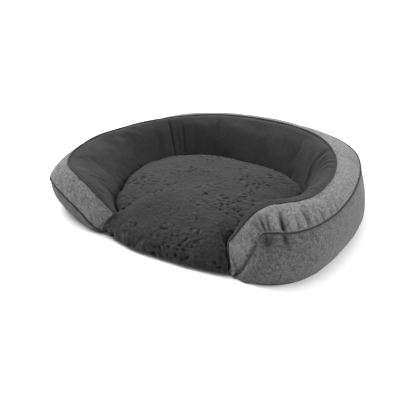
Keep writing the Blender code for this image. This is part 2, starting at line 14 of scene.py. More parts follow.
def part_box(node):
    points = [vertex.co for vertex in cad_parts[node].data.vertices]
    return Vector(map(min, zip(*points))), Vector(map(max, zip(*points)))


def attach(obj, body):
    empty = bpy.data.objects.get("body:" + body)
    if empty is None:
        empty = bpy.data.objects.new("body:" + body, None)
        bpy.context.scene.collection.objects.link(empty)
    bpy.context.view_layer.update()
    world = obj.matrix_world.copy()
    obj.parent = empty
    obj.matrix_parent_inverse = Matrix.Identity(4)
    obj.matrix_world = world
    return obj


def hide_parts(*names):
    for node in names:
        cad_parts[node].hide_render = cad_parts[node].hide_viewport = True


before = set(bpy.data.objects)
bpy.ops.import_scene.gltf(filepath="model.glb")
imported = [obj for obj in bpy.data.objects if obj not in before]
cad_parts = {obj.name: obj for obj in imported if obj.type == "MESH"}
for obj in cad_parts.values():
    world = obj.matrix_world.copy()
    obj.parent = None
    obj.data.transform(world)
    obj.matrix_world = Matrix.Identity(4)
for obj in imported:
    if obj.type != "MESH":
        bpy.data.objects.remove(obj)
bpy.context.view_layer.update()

# ---- Shape of the wall. Each row: rim seam, ridge seam, foot of the inner side, edge of the sole, and
# how far the outer side swells. Rows run from the back centre to the end of an arm.
RIGHT_ARM = (
    ((0.000, 0.292, 0.136), (0.000, 0.229, 0.1575), (0.000, 0.153), (0.000, 0.298), 0.014),
    ((0.125, 0.280, 0.135), (0.108, 0.223, 0.1575), (0.095, 0.147), (0.128, 0.287), 0.014),
    ((0.228, 0.250, 0.134), (0.192, 0.190, 0.158), (0.160, 0.124), (0.234, 0.256), 0.014),
    ((0.294, 0.199, 0.132), (0.243, 0.145, 0.1585), (0.204, 0.090), (0.302, 0.205), 0.014),
    ((0.342, 0.118, 0.128), (0.287, 0.083, 0.158), (0.233, 0.045), (0.348, 0.120), 0.013),
    ((0.369, 0.022, 0.124), (0.315, 0.018, 0.157), (0.246, -0.005), (0.375, 0.022), 0.015),
    ((0.380, -0.075, 0.121), (0.331, -0.061, 0.155), (0.249, -0.058), (0.380, -0.077), 0.015),
    ((0.377, -0.145, 0.119), (0.329, -0.128, 0.153), (0.246, -0.103), (0.376, -0.145), 0.015),
    ((0.361, -0.205, 0.117), (0.312, -0.172, 0.152), (0.238, -0.138), (0.364, -0.207), 0.014),
    ((0.330, -0.251, 0.116), (0.284, -0.203, 0.151), (0.224, -0.170), (0.338, -0.256), 0.011),
    ((0.296, -0.270, 0.115), (0.262, -0.222, 0.148), (0.210, -0.193), (0.308, -0.283), 0.010),
    ((0.275, -0.276, 0.109), (0.247, -0.243, 0.143), (0.199, -0.208), (0.283, -0.294), 0.006),
    ((0.262, -0.284, 0.078), (0.235, -0.260, 0.129), (0.189, -0.220), (0.265, -0.299), 0.004),
    ((0.250, -0.289, 0.046), (0.222, -0.268, 0.109), (0.181, -0.229), (0.252, -0.304), 0.003),
    ((0.239, -0.292, 0.020), (0.209, -0.270, 0.087), (0.176, -0.240), (0.240, -0.301), 0.002),
    ((0.230, -0.293, 0.007), (0.195, -0.268, 0.064), (0.176, -0.252), (0.231, -0.297), 0.001),
    ((0.2275, -0.2955, 0.006), (0.2058, -0.2850, 0.0374), (0.190, -0.270), (0.2275, -0.2985), 0.0005),
    ((0.2240, -0.2985, 0.005), (0.2135, -0.2940, 0.0160), (0.203, -0.285), (0.2240, -0.3000), 0.0),
)
LEFT_ARM = (
    ((-0.130, 0.264, 0.134), (-0.112, 0.203, 0.1565), (-0.090, 0.147), (-0.135, 0.272), 0.014),
    ((-0.222, 0.217, 0.131), (-0.180, 0.163, 0.154), (-0.148, 0.122), (-0.230, 0.225), 0.014),
    ((-0.284, 0.152, 0.122), (-0.234, 0.113, 0.1505), (-0.190, 0.087), (-0.300, 0.163), 0.014),
    ((-0.327, 0.078, 0.114), (-0.274, 0.053, 0.148), (-0.213, 0.046), (-0.348, 0.084), 0.016),
    ((-0.351, 0.000, 0.106), (-0.304, -0.007, 0.144), (-0.226, 0.002), (-0.360, 0.001), 0.018),
    ((-0.364, -0.078, 0.099), (-0.324, -0.067, 0.141), (-0.223, -0.045), (-0.371, -0.078), 0.018),
    ((-0.366, -0.150, 0.094), (-0.321, -0.137, 0.138), (-0.216, -0.090), (-0.362, -0.140), 0.014),
    ((-0.357, -0.208, 0.090), (-0.303, -0.203, 0.134), (-0.202, -0.126), (-0.344, -0.189), 0.011),
    ((-0.332, -0.249, 0.086), (-0.274, -0.240, 0.130), (-0.186, -0.156), (-0.320, -0.221), 0.010),
    ((-0.290, -0.273, 0.077), (-0.240, -0.256, 0.124), (-0.176, -0.182), (-0.284, -0.243), 0.009),
    ((-0.244, -0.286, 0.062), (-0.200, -0.268, 0.112), (-0.159, -0.205), (-0.239, -0.265), 0.006),
    ((-0.207, -0.293, 0.047), (-0.168, -0.275, 0.098), (-0.142, -0.223), (-0.203, -0.278), 0.004),
    ((-0.181, -0.296, 0.031), (-0.143, -0.278, 0.084), (-0.127, -0.235), (-0.178, -0.286), 0.003),
    ((-0.158, -0.296, 0.015), (-0.124, -0.279, 0.071), (-0.114, -0.245), (-0.157, -0.290), 0.002),
    ((-0.142, -0.291, 0.005), (-0.108, -0.277, 0.058), (-0.102, -0.252), (-0.142, -0.288), 0.001),
)
FLOOR_GAP = 0.0032          # the wall's cloth stops this far above the floor, on the base sheet
FULL_HEIGHT = 0.15          # a ridge seam this high has the full crest; a lower one has less
CREST_RISE = 0.0045         # the crest stands this far above the ridge seam
CREST_SET = 0.016           # and this far inside it
BAND_CROWN = 0.005          # how far the band swells over a straight line
SWELL_SKEW = 0.72           # below 1, the outer side swells most below half its height
INNER_FLATNESS = 1.35       # over 1, the inner side sags flatter than a quarter circle
SECTION_STEPS = 60          # points of a section before it is evenly cut
CREST_STEPS = 12
AROUND = 560                # grid rows along the wall, closer together where there are folds
OUTER_CUTS = 24
BAND_CUTS = 14
INNER_CUTS = 34
RIM_COLUMN = OUTER_CUTS
RIDGE_COLUMN = OUTER_CUTS + BAND_CUTS
LUMP_SIZE = 0.075           # slow unevenness of the stuffing
LUMP_HEIGHT = 0.0016

# ---- Piping
WELT = 0.0022               # radius
WELT_SIDES = 12
WELT_UNEVEN = 0.10          # share of the radius
WELT_END = 0.4              # share of the radius at the closed ends

# ---- Folds of the wall. Places are distances along the ridge from the back centre.
# Soft upright folds of the inner side: place, width, depth, lean down the side, reach down it.
FOLDS = (
    (-0.266, 0.0045, 0.0034, 0.010, 1.0), (-0.222, 0.0045, 0.0030, 0.001, 1.0),
    (-0.243, 0.0050, 0.0014, 0.006, 0.8), (-0.178, 0.0090, 0.0012, -0.004, 1.0),
    (-0.320, 0.0140, 0.0016, 0.014, 1.0), (-0.110, 0.0200, 0.0010, 0.000, 1.0),
    (0.030, 0.0260, 0.0010, 0.010, 1.0), (0.312, 0.0100, 0.0034, 0.012, 1.0),
    (0.345, 0.0042, 0.0030, -0.006, 0.4), (0.366, 0.0040, 0.0026, -0.014, 0.5),
    (0.392, 0.0050, 0.0034, -0.022, 0.5), (0.424, 0.0060, 0.0022, -0.024, 0.5),
    (0.262, 0.0160, 0.0014, 0.010, 1.0), (-0.480, 0.0240, 0.0008, 0.010, 1.0),
    (-0.600, 0.0220, 0.0008, -0.010, 1.0), (0.180, 0.0220, 0.0010, 0.006, 1.0),
)
# Puckers where the band is eased round the noses: place, width, depth (below zero stands proud), lean up
# the band, reach up the band, reach below the rim.
GATHERS = (
    (0.520, 0.0070, 0.0016, 0.010, 0.6, 0.1), (0.543, 0.0050, 0.0026, 0.012, 0.7, 0.1),
    (0.566, 0.0070, 0.0030, 0.012, 0.9, 0.2), (0.589, 0.0046, 0.0044, 0.010, 0.7, 0.3),
    (0.604, 0.0060, 0.0028, 0.006, 0.9, 0.2), (0.621, 0.0044, 0.0056, 0.004, 0.9, 0.5),
    (0.641, 0.0050, 0.0036, 0.002, 0.6, 0.4), (0.664, 0.0044, 0.0118, -0.002, 0.8, 1.0),
    (0.652, 0.0060, -0.0036, 0.000, 0.8, 0.6), (0.677, 0.0060, -0.0038, -0.004, 0.7, 0.8),
    (0.686, 0.0036, 0.0052, -0.010, 0.8, 0.8), (0.698, 0.0036, 0.0064, -0.018, 1.1, 0.9),
    (0.707, 0.0034, 0.0044, -0.030, 1.1, 0.3), (0.631, 0.0060, -0.0020, 0.003, 0.8, 0.2),
    (-0.716, 0.0070, 0.0012, 0.004, 0.8, 0.2), (-0.680, 0.0070, 0.0010, 0.004, 0.8, 0.1),
    (-0.838, 0.0036, 0.0050, 0.016, 0.9, 0.3), (-0.815, 0.0060, 0.0014, 0.010, 0.7, 0.2),
)
CHAMBER_SEAMS = (-0.266, 0.345)
CHAMBER_DIP = 0.0016
RUFFLE_SIZE = 0.0085        # fine ruffles where the inner side is eased onto the piping
RUFFLE_DEPTH = 0.0026
RUFFLE_REACH = 0.30         # share of the inner side's length, from the ridge
FULL_CREASE = 0.012         # a fold this deep gets the full painted shade

# ---- Stuffing, as cloth
WALL_FRAMES = 16
WALL_PRESSURE = 3.0
WALL_MOVE = 0.005           # no point moves further than this
CUSHION_FRAMES = 12
CUSHION_PRESSURE = 1.6
CUSHION_MOVE = 0.0032
CUSHION_SLACK = 0.35
CLOTH_STIFFNESS = 12.0

# ---- Cushion
WALL_ROOM = 0.004
REAR_PLANE = 0.1240         # the flat rear side, in front of the zip
ZIP_HALF = 0.099
ZIP_TOP = 0.033             # rings below this keep to the flat rear side
CENTRE = (0.0, -0.075)
CROWN = 0.0786              # height of the cushion over its underside
OUTLINE_POINTS = 420
VOXEL = 0.0052

# ---- Underside pieces
SHEET_POINTS = 300
SHEET_EDGE = 0.0012         # rounding of their edges


# ---- Helpers

def smooth_rows(rows, count):
    """Rows evenly spaced along a smooth curve through the given ones; the first six numbers set the pace."""
    rows = np.array(rows, float)
    chords = np.linalg.norm(np.diff(rows[:, :6], axis=0), axis=1)
    knots = np.concatenate([[0.0], np.cumsum(chords)])
    slopes = np.gradient(rows, knots, axis=0)
    wanted = np.linspace(0.0, knots[-1], count)
    span = np.clip(np.searchsorted(knots, wanted, side="right") - 1, 0, len(chords) - 1)
    length = chords[span][:, None]
    s = (wanted - knots[span])[:, None] / length
    start, end = rows[span], rows[span + 1]
    start_slope, end_slope = slopes[span] * length, slopes[span + 1] * length
    return (
        start * (2 * s**3 - 3 * s**2 + 1)
        + start_slope * (s**3 - 2 * s**2 + s)
        + end * (3 * s**2 - 2 * s**3)
        + end_slope * (s**3 - s**2)
    )


def resampled(points, cuts):
    points = np.array(points)
    lengths = np.concatenate([[0.0], np.cumsum(np.linalg.norm(np.diff(points, axis=0), axis=1))])
    wanted = np.linspace(0.0, lengths[-1], cuts + 1)
    return np.stack([np.interp(wanted, lengths, points[:, k]) for k in range(points.shape[1])], axis=1)


def smoothstep(low, high, value):
    t = np.clip((value - low) / (high - low), 0.0, 1.0)
    return t * t * (3 - 2 * t)


def hump(value, centre, width):
    return np.exp(-(((value - centre) / width) ** 2))


def make_mesh(name, points, faces, smooth=True):
    mesh = bpy.data.meshes.new(name)
    mesh.from_pydata([tuple(p) for p in points], [], faces)
    mesh.update()
    if smooth:
        mesh.shade_smooth()
    item = bpy.data.objects.new(name, mesh)
    bpy.context.scene.collection.objects.link(item)
    return item


def grid_mesh(name, grid, closed_across=False):
    """A skin over a grid of points, with the distance along both ways kept for the weave."""
    rows, columns = grid.shape[:2]
    faces = []
    for i in range(rows - 1):
        for j in range(columns if closed_across else columns - 1):
            k = (j + 1) % columns
            faces.append((i * columns + j, (i + 1) * columns + j, (i + 1) * columns + k, i * columns + k))
    item = make_mesh(name, grid.reshape(-1, 3), faces)
    along = np.linalg.norm(np.diff(grid, axis=0), axis=2)
    across = np.linalg.norm(np.diff(grid, axis=1), axis=2)
    cloth = np.zeros((rows, columns, 3))
    cloth[1:, :, 0] = np.cumsum(along.mean(axis=1))[:, None]
    cloth[:, 1:, 1] = np.cumsum(across.mean(axis=0))[None, :]
    keep_cloth_place(item, cloth.reshape(-1, 3))
    return item


def ring_faces(rings, count):
    """Faces between closed rings of points, each lying over the one before."""
    faces = []
    for r in range(rings - 1):
        for k in range(count):
            after = (k + 1) % count
            faces.append((r * count + k, r * count + after, (r + 1) * count + after, (r + 1) * count + k))
    return faces


def fan(last, count, top):
    """Faces from the ring that starts at point last to one point over it."""
    return [(last + k, last + (k + 1) % count, top) for k in range(count)]


def keep_cloth_place(item, values):
    attribute = item.data.attributes.new("cloth_place", "FLOAT_VECTOR", "POINT")
    attribute.data.foreach_set("vector", np.array(values, np.float32).ravel())


def coordinates(mesh):
    co = np.zeros(len(mesh.vertices) * 3, np.float32)
    mesh.vertices.foreach_get("co", co)
    return co.reshape(-1, 3).astype(float)


def set_coordinates(mesh, points):
    mesh.vertices.foreach_set("co", np.array(points, np.float32).ravel())
    mesh.update()


def normals_of(mesh):
    values = np.zeros(len(mesh.vertices) * 3, np.float32)
    mesh.vertex_normals.foreach_get("vector", values)
    return values.reshape(-1, 3).astype(float)


def noise_field(points, size, seed, octaves=2):
    """Smooth noise of about -1..1 with lumps of the given size."""
    offset = Vector((seed * 7.31, seed * 3.17, seed * 5.77))
    return np.array([noise.fractal(Vector(p) / size + offset, 1.0, 2.0, octaves) for p in points])


def stuffed(item, held, slack, frames, pressure, most):
    """Blows an item up as cloth, held where held is 1 and with spare cloth where slack is 1."""
    start = coordinates(item.data)
    for name, weights in (("held", held), ("firm", 1.0 - slack)):
        group = item.vertex_groups.new(name=name)
        for level in np.unique(np.round(weights, 2)):
            if level > 0:
                members = np.nonzero(np.round(weights, 2) == level)[0].tolist()
                group.add(members, float(level), "REPLACE")
    cloth = item.modifiers.new("stuffing", "CLOTH")
    settings = cloth.settings
    settings.quality = 6
    settings.mass = 0.25
    settings.tension_stiffness = CLOTH_STIFFNESS
    settings.compression_stiffness = CLOTH_STIFFNESS
    settings.shear_stiffness = 4.0
    settings.bending_stiffness = 0.4
    settings.use_pressure = True
    settings.uniform_pressure_force = pressure
    settings.vertex_group_mass = "held"
    settings.vertex_group_shrink = "firm"
    settings.shrink_min = -0.07
    settings.shrink_max = -0.002
    settings.effector_weights.gravity = 0.0
    cloth.collision_settings.use_collision = False
    cloth.point_cache.frame_start = 1
    cloth.point_cache.frame_end = frames
    scene = bpy.context.scene
    for step in range(1, frames + 1):
        scene.frame_set(step)
    shaped = item.evaluated_get(bpy.context.evaluated_depsgraph_get())
    end = coordinates(shaped.data)
    item.modifiers.remove(cloth)
    item.vertex_groups.clear()
    scene.frame_set(1)
    move = end - start
    distance = np.linalg.norm(move, axis=1)
    move *= (np.minimum(distance, most) / np.maximum(distance, 1e-9))[:, None]
    set_coordinates(item.data, start + move)


# ---- The wall

def flat_row(row):
    rim, ridge, foot, sole, swell = row
    return (*rim, *ridge, *foot, *sole, swell)


def wall_section(row):
    """Outer side from the sole up, band from the rim in, inner side from the ridge down, each evenly cut."""
    rim, ridge, foot, sole, swell = row[0:3], row[3:6], row[6:8], row[8:10], row[10]
    inwards = ridge[:2] - rim[:2]
    inwards = inwards / np.linalg.norm(inwards)
    share = np.linspace(0.0, 1.0, SECTION_STEPS)[:, None]
    bulge = swell * np.sin(math.pi * share**SWELL_SKEW)
    flat = sole + (rim[:2] - sole) * share - inwards * bulge
    height = FLOOR_GAP + (rim[2] - FLOOR_GAP) * share
    outer = resampled(np.hstack([flat, height]), OUTER_CUTS)
    straight = rim + (ridge - rim) * share
    lift = np.cross(np.append(inwards, 0.0), np.array([0.0, 0.0, 1.0]))
    up = np.cross(lift, ridge - rim)
    up = up / np.linalg.norm(up) * np.sign(up[2] if abs(up[2]) > 1e-9 else 1.0)
    band = resampled(straight + up * BAND_CROWN * np.sin(math.pi * share), BAND_CUTS)
    height_share = min(1.0, ridge[2] / FULL_HEIGHT)
    to_foot = foot - ridge[:2]
    reach = np.linalg.norm(to_foot)
    to_foot = to_foot / reach
    crest = ridge[2] + CREST_RISE * height_share**2
    crest_set = min(CREST_SET * height_share**2, reach * 0.3)
    turn = math.pi / 2 * share
    run = crest_set + (reach - crest_set) * np.sin(turn) ** INNER_FLATNESS
    rise = FLOOR_GAP + (crest - FLOOR_GAP) * np.maximum(np.cos(turn), 0.0) ** INNER_FLATNESS
    fall = np.hstack([ridge[:2] + to_foot * run, rise])
    first = np.linspace(0.0, 1.0, CREST_STEPS)[:-1, None]
    over_run = crest_set * first
    over_rise = ridge[2] + (crest - ridge[2]) * np.sin(first * math.pi / 2)
    over = np.hstack([ridge[:2] + to_foot * over_run, over_rise])
    inner = resampled(np.vstack([over, fall]), INNER_CUTS)
    return np.vstack([outer, band[1:], inner[1:]])


def ridge_path(rows):
    """Distance along the ridge seam from the back centre: positive round the right arm."""
    ridge = rows[:, 3:6]
    step = np.linalg.norm(np.diff(ridge, axis=0), axis=1)
    path = np.concatenate([[0.0], np.cumsum(step)])
    return path - path[np.argmin(np.abs(ridge[:, 0]) + (ridge[:, 1] < 0) * 9)]


def wall_grid():
    rows = [flat_row(r) for r in reversed(LEFT_ARM)] + [flat_row(r) for r in RIGHT_ARM]
    rows = smooth_rows(rows, 4 * AROUND)
    path = ridge_path(rows)
    pace = 1 + 2.0 * smoothstep(0.50, 0.56, path) * (1 - smoothstep(0.74, 0.78, path))
    pace += 1.2 * hump(path, -0.27, 0.07) + 1.2 * hump(path, 0.35, 0.08) + 1.2 * hump(path, -0.78, 0.10)
    reach = np.cumsum(pace)
    kept = np.interp(np.linspace(reach[0], reach[-1], AROUND), reach, np.arange(len(rows)))
    rows = np.stack([np.interp(kept, np.arange(len(rows)), column) for column in rows.T], axis=1)
    grid = np.array([wall_section(row) for row in rows])
    return rows, grid


def crease_pattern(rows, grid):
    """How far each grid point sinks: chamber creases, soft folds in the inner side, fine ruffles by the ridge
    towards the right nose.
    """
    count, columns = grid.shape[:2]
    path = ridge_path(rows)[:, None]
    column = np.arange(columns)[None, :]
    outer = (column < RIM_COLUMN) * np.sin(math.pi * np.clip(column / RIM_COLUMN, 0, 1))
    over_band = (column - RIM_COLUMN) / BAND_CUTS
    band = ((over_band > 0) & (over_band < 1)) * np.sin(math.pi * np.clip(over_band, 0, 1))
    down = (column - RIDGE_COLUMN) / INNER_CUTS
    inner = ((down > 0) & (down < 1)) * np.sin(math.pi * np.clip(down, 0, 1) ** 0.7) ** 0.6
    sink = np.zeros((count, columns))
    for place, width, depth, lean, reach in FOLDS:
        fades = 1 - smoothstep(0.6 * reach, 1.3 * reach, np.clip(down, 0, 1)) * (reach < 1)
        sink += depth * hump(path - lean * np.clip(down, 0, 1), place, width) * inner * fades
    # the band and the outer side give a little at the chamber seams
    for place in CHAMBER_SEAMS:
        sink += CHAMBER_DIP * hump(path, place, 0.010) * (band + 0.8 * outer)
    near_ridge = (down > 0) & (down < RUFFLE_REACH)
    near_ridge = near_ridge * np.sin(math.pi * np.clip(down / RUFFLE_REACH, 0, 1)) ** 0.7
    eased = smoothstep(0.42, 0.50, path) * (1 - smoothstep(0.62, 0.72, path))
    ticks = np.array([noise.noise(Vector((p / RUFFLE_SIZE, 4.2, 0.0))) for p in path[:, 0]])[:, None]
    sink += RUFFLE_DEPTH * ticks * near_ridge * eased
    return path, sink, band, outer, over_band


def gathers(path, over_band, column):
    """Puckers of the band, deep at the rim seam and fading towards the ridge."""
    depth = np.zeros((len(path), len(column[0])))
    below = np.clip((RIM_COLUMN - column) / 10.0, 0, 2)
    above = np.clip(over_band, 0, 2)
    for place, width, deep, lean, up, down in GATHERS:
        line = hump(path + lean * above, place, width * (1 + 0.5 * above + 0.6 * below))
        rise = (1 - smoothstep(0.25, 1.0, above / up)) * (over_band >= 0)
        fall = (1 - smoothstep(0.0, 1.0, below / max(down, 0.05))) * (column < RIM_COLUMN)
        depth += deep * line * (rise + 0.8 * fall)
    return depth


def build_wall_cloth():
    rows, grid = wall_grid()
    path, sink, band, outer, over_band = crease_pattern(rows, grid)
    column = np.arange(grid.shape[1])[None, :]
    puckers = gathers(path, over_band, column)
    seams = np.minimum(np.abs(column - RIM_COLUMN), np.abs(column - RIDGE_COLUMN))
    away = np.clip(seams / 2.0, 0, 1)
    tug = np.clip(seams / 2.0, 0.3, 1)
    # below its corner the seam of the right nose runs in the bottom of a fold, and the seams lie in grooves
    nose_fold = 0.0048 * smoothstep(0.705, 0.735, path) * hump(column, RIM_COLUMN, 2.0)
    groove = 0.0012 * hump(seams, 1.0, 0.8) * (1 - smoothstep(0.800, 0.815, path))
    below_corner = hump(path, 0.696, 0.016) * hump(column, RIM_COLUMN - 4.5, 3.0)
    hollow = sink * away + puckers * tug + nose_fold + groove + 0.0060 * below_corner
    # painted shade: the deeper a point sinks into a fold, pocket or groove, the darker its cloth is painted
    crease_shade = np.clip((hollow - 0.4 * groove) / FULL_CREASE, 0, 1)
    item = grid_mesh("wall_cloth", grid)
    normals = normals_of(item.data).reshape(grid.shape)
    middle = rows[:, None, 0:3] * 0.5 + np.pad(rows[:, 6:8], ((0, 0), (0, 1)))[:, None] * 0.5
    inside_out = ((grid - middle) * normals).sum() < 0
    if inside_out:
        normals = -normals
    grid = grid - normals * hollow[..., None]
    lumps = noise_field(grid.reshape(-1, 3), LUMP_SIZE, 3).reshape(grid.shape[:2])
    grid = grid + normals * (LUMP_HEIGHT * lumps * away)[..., None]
    set_coordinates(item.data, grid.reshape(-1, 3))
    if inside_out:
        item.data.flip_normals()
    held = np.zeros(grid.shape[:2])
    held[:, [0, RIM_COLUMN, RIDGE_COLUMN, -1]] = 1.0
    held[[0, -1], :] = 1.0
    slack = np.zeros(grid.shape[:2])
    right_nose = smoothstep(0.56, 0.62, path) * (1 - smoothstep(0.72, 0.80, path))
    left_nose = smoothstep(0.60, 0.66, -path) * (1 - smoothstep(0.78, 0.84, -path))
    slack += (right_nose + 0.6 * left_nose) * (band + 0.5 * outer)
    slack += 0.22 * hump(path, -0.25, 0.06) * (column > RIDGE_COLUMN)
    slack += 0.30 * hump(path, 0.36, 0.06) * (column > RIDGE_COLUMN)
    stuffed(item, held.ravel(), np.clip(slack, 0, 1).ravel(), WALL_FRAMES, WALL_PRESSURE, WALL_MOVE)
    grid = coordinates(item.data).reshape(grid.shape)
    bpy.data.objects.remove(item)
    return rows, grid, crease_shade, inside_out


def build_wall():
    rows, grid, crease_shade, inside_out = build_wall_cloth()
    parts = {
        "wall_outer_cloth": (slice(0, RIM_COLUMN + 1), TWEED_GREY),
        "wall_band_cloth": (slice(RIM_COLUMN, RIDGE_COLUMN + 1), TWEED_LIGHT),
        "wall_inner_cloth": (slice(RIDGE_COLUMN, None), SUEDE),
    }
    made = {}
    for name, (columns, finish) in parts.items():
        item = grid_mesh(name, grid[:, columns])
        if inside_out:
            item.data.flip_normals()
        # the painted shade of the folds goes to the cloth's material as a point attribute
        shade = item.data.attributes.new("crease_shade", "FLOAT", "POINT")
        shade.data.foreach_set("value", crease_shade[:, columns].astype(np.float32).ravel())
        item.data.materials.append(finish)
        subdivide = item.modifiers.new("subdivide", "SUBSURF")
        subdivide.levels = 1
        subdivide.render_levels = 1
        made[name] = item
    path = ridge_path(rows)
    # the rim's piping sinks into the fold of the right nose and lies half buried behind the left arm
    behind = smoothstep(-0.660, -0.650, path) * (1 - smoothstep(-0.46, -0.40, path))
    rim_thickness = 1 - 0.88 * smoothstep(0.700, 0.722, path) - 0.7 * behind + 0.3 * hump(path, -0.663, 0.005)
    ridge_thickness = 1 - 0.9 * smoothstep(0.800, 0.814, path)
    made["rim_welt"] = welt("rim_welt", grid[:, RIM_COLUMN], 0.4, rim_thickness)
    made["ridge_welt"] = welt("ridge_welt", grid[:, RIDGE_COLUMN], 2.1, ridge_thickness)
    for end, name, cloth in ((0, "left", SUEDE), (-1, "right", TWEED_LIGHT)):
        made[f"arm_cap_{name}"] = arm_cap(f"arm_cap_{name}", grid[end], grid[1 if end == 0 else -2], cloth)
    return rows, grid, made


def welt(name, seam, seed, thickness):
    """Piping: a covered cord along a seam, a little uneven, with closed ends."""
    halves = np.linspace(0, len(seam) - 1, 2 * len(seam) - 1)
    thickness = np.interp(halves, np.arange(len(seam)), thickness)
    seam = np.stack([np.interp(halves, np.arange(len(seam)), values) for values in seam.T], axis=1)
    tangent = np.gradient(seam, axis=0)
    tangent /= np.linalg.norm(tangent, axis=1)[:, None]
    side = np.cross(tangent, np.array([0.0, 0.0, 1.0]))
    side /= np.maximum(np.linalg.norm(side, axis=1), 1e-6)[:, None]
    up = np.cross(side, tangent)
    turns = np.linspace(0, 2 * math.pi, WELT_SIDES, endpoint=False)
    wobble = noise_field(seam, 0.012, seed, 1)
    radius = WELT * thickness * (1 + WELT_UNEVEN * wobble)
    radius[0] = radius[-1] = WELT * WELT_END
    grid = seam[:, None] + radius[:, None, None] * (
        np.cos(turns)[None, :, None] * side[:, None] + np.sin(turns)[None, :, None] * up[:, None]
    )
    item = grid_mesh(name, grid, closed_across=True)
    item.data.materials.append(PIPING)
    return item


def arm_cap(name, loop, before, cloth):
    """The cloth that closes the end of an arm, slightly domed."""
    out = (loop - before).mean(axis=0)
    out /= np.linalg.norm(out)
    loop = loop[::2]
    centre = loop.mean(axis=0)
    dome = ((1.0, 0.0), (0.93, 0.0016), (0.7, 0.003), (0.35, 0.004))
    rings = [centre + (loop - centre) * share + out * height for share, height in dome]
    points = np.vstack([*rings, centre + out * 0.0042])
    count = len(loop)
    faces = ring_faces(len(rings), count) + fan((len(rings) - 1) * count, count, len(points) - 1)
    item = make_mesh(name, points, faces)
    if (normals_of(item.data) @ out).sum() < 0:
        item.data.flip_normals()
    keep_cloth_place(item, points)
    item.data.materials.append(cloth)
    return item


# ---- The cushion

FRONT_LINE = (
    (0.216, -0.302), (0.169, -0.312), (0.111, -0.319), (0.057, -0.322), (0.003, -0.322),
    (-0.059, -0.314), (-0.105, -0.300), (-0.140, -0.285),
)


def cushion_outline(rows, room):
    """Anticlockwise outline on the floor: the wall's foot moved in, then the front line."""
    foot = rows[:, 6:8]
    along = np.gradient(foot, axis=0)
    along /= np.linalg.norm(along, axis=1)[:, None]
    inwards = np.stack([along[:, 1], -along[:, 0]], axis=1)
    inner = foot + inwards * room
    front = smooth_rows([(x, y, 0, 0, 0, 0) for x, y in FRONT_LINE], 60)[:, :2]
    return inner, front


# Rings from the underside to the crown. At the wall: share of the outline and height. At the front:
# share, height, and how far the ring lies back from the front line.
CUSHION_RINGS = (
    ((0.990, 0.0000), (0.992, 0.0000, 0.0030)),
    ((1.000, 0.0050), (1.000, 0.0035, 0.0000)),
    ((1.000, 0.0180), (1.000, 0.0110, 0.0004)),
    ((1.000, 0.0290), (1.000, 0.0200, 0.0030)),
    ((1.008, 0.0375), (1.000, 0.0290, 0.0080)),
    ((1.004, 0.0440), (1.000, 0.0370, 0.0145)),
    ((0.984, 0.0495), (1.000, 0.0440, 0.0220)),
    ((0.954, 0.0540), (0.995, 0.0505, 0.0310)),
    ((0.900, 0.0597), (0.970, 0.0570, 0.0400)),
    ((0.820, 0.0652), (0.905, 0.0635, 0.0450)),
    ((0.700, 0.0705), (0.780, 0.0700, 0.0450)),
    ((0.520, 0.0750), (0.580, 0.0745, 0.0380)),
    ((0.300, 0.0776), (0.320, 0.0776, 0.0220)),
    ((0.120, 0.0785), (0.120, 0.0785, 0.0080)),
)


def build_cushion(rows):
    inner, front = cushion_outline(rows, WALL_ROOM)
    right_side = np.linspace(inner[-1], front[0], 12)[1:-1]
    left_side = np.linspace(front[-1], inner[0], 12)[1:-1]
    outline = np.vstack([inner, right_side, front, left_side])[::-1]
    outline = resampled(np.vstack([outline, outline[:1]]), OUTLINE_POINTS)[:-1]
    low = outline.copy()
    rear = (np.abs(low[:, 0]) < 0.16) & (low[:, 1] > REAR_PLANE)
    flat_share = 1 - smoothstep(ZIP_HALF, 0.150, np.abs(low[:, 0]))
    low[rear, 1] += ((REAR_PLANE - low[:, 1]) * flat_share)[rear]
    x, y = outline.T
    is_front = smoothstep(-0.238, -0.280, y)[:, None]
    lean = 1.17 * (smoothstep(-0.03, -0.135, x) - smoothstep(0.10, 0.215, x))
    back = np.stack([lean, np.ones(len(x))], axis=1)
    back /= np.linalg.norm(back, axis=1)[:, None]
    back *= (1 + 0.7 * hump(x, 0.03, 0.12))[:, None]
    centre = np.array(CENTRE)
    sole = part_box("cushion_liner")[0].z
    rings = []
    for (wall_share, wall_height), (front_share, front_height, inset) in CUSHION_RINGS:
        base = low if wall_height < ZIP_TOP else outline
        base = base + back * inset * is_front
        share = wall_share + (front_share - wall_share) * is_front
        height = sole + wall_height + (front_height - wall_height) * is_front[:, 0]
        rings.append(np.column_stack([centre + (base - centre) * share, height]))
    count = len(outline)
    points = np.vstack([*rings, [[*centre, sole + CROWN]], [[*centre, sole]]])
    top = len(points) - 2
    faces = ring_faces(len(rings), count) + fan((len(rings) - 1) * count, count, top)
    faces += [((k + 1) % count, k, top + 1) for k in range(count)]
    item = make_mesh("cushion_plush", points, faces)
    remesh(item, VOXEL)
    co = coordinates(item.data)
    held = np.where((co[:, 2] < sole + 0.003) | rear_face(co), 1.0, 0.0)
    slack = np.full(len(co), CUSHION_SLACK)
    stuffed(item, held, slack, CUSHION_FRAMES, CUSHION_PRESSURE, CUSHION_MOVE)
    subdivided(item, 1)
    add_pile(item, sole)
    item.data.materials.append(PLUSH)
    return item


def rear_face(co):
    return (co[:, 1] > REAR_PLANE - 0.012) & (np.abs(co[:, 0]) < ZIP_HALF + 0.006) & (co[:, 2] < 0.036)


def remesh(item, size):
    modifier = item.modifiers.new("remesh", "REMESH")
    modifier.mode = "VOXEL"
    modifier.voxel_size = size
    modifier.use_smooth_shade = True
    bake_modifiers(item)


def subdivided(item, levels):
    modifier = item.modifiers.new("subdivide", "SUBSURF")
    modifier.levels = levels
    bake_modifiers(item)


def bake_modifiers(item):
    shaped = item.evaluated_get(bpy.context.evaluated_depsgraph_get())
    mesh = bpy.data.meshes.new_from_object(shaped)
    old = item.data
    item.modifiers.clear()
    item.data = mesh
    bpy.data.meshes.remove(old)
    item.data.shade_smooth()


